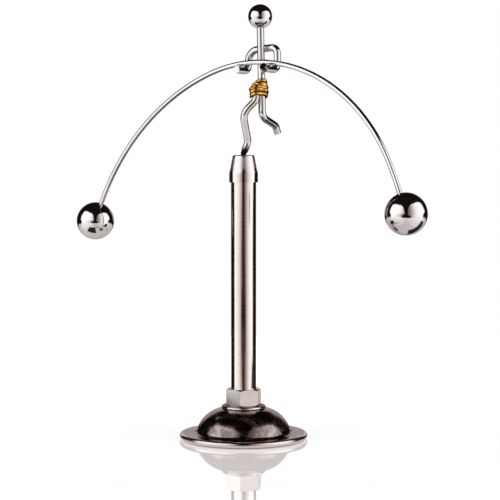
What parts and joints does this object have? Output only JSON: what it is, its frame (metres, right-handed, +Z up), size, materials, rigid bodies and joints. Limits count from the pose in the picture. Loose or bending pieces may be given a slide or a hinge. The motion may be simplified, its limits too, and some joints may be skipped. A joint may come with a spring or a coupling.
{
  "type": "balancing toy",
  "caption": "Wire figure that stands on its toe on a plated column and holds a bowed pole with ball weights that hang below the toe, so it rocks, nods, turns and rights itself.",
  "frame": {"origin": "centre of the underside of the pad, the face that the toy rests on; the toe stands on the Z axis", "axes": "+Z up along the column, +X along the pole towards right_weight, and the figure faces -Y"},
  "size_m": [0.2128, 0.064, 0.2162],
  "materials": {
    "black_nickel": "dark polished plating",
    "iron": "rough casting",
    "felt": "felt",
    "nickel": "polished warm plating",
    "zinc": "satin plating",
    "chrome": "polished plating",
    "brass": "bright drawn wire"
  },
  "bodies": {
    "stand": {"base": "black_nickel", "base_weight": "iron", "base_pad": "felt", "collar_ring": "nickel", "lock_nut": "zinc", "bottom_washer": "zinc", "bottom_nut": "zinc", "base_stud": "zinc", "column_tube": "nickel", "cap": "chrome"},
    "pivot": {"pivot_seat": "brass"},
    "toe": {"toe_ball": "chrome"},
    "walker": {"body_wire": "chrome", "standing_leg": "chrome", "arms_wire": "chrome", "shoulder_braze": "chrome", "hand_brazes": "chrome", "waist_binding": "brass", "head_ball": "chrome", "balance_pole": "chrome", "left_weight": "chrome", "right_weight": "chrome"}
  },
  "joints": [
    {"name": "turn", "type": "hinge", "parent": "stand", "child": "pivot", "pos_m": [0, 0, 0.1428], "axis": [0, 0, 1], "continuous": true},
    {"name": "nod", "type": "hinge", "parent": "pivot", "child": "toe", "pos_m": [0, 0, 0.1428], "axis": [1, 0, 0], "range_deg": [-20, 20]},
    {"name": "rock", "type": "hinge", "parent": "toe", "child": "walker", "pos_m": [0, 0, 0.1428], "axis": [0, 1, 0], "range_deg": [-20, 20]}
  ]
}
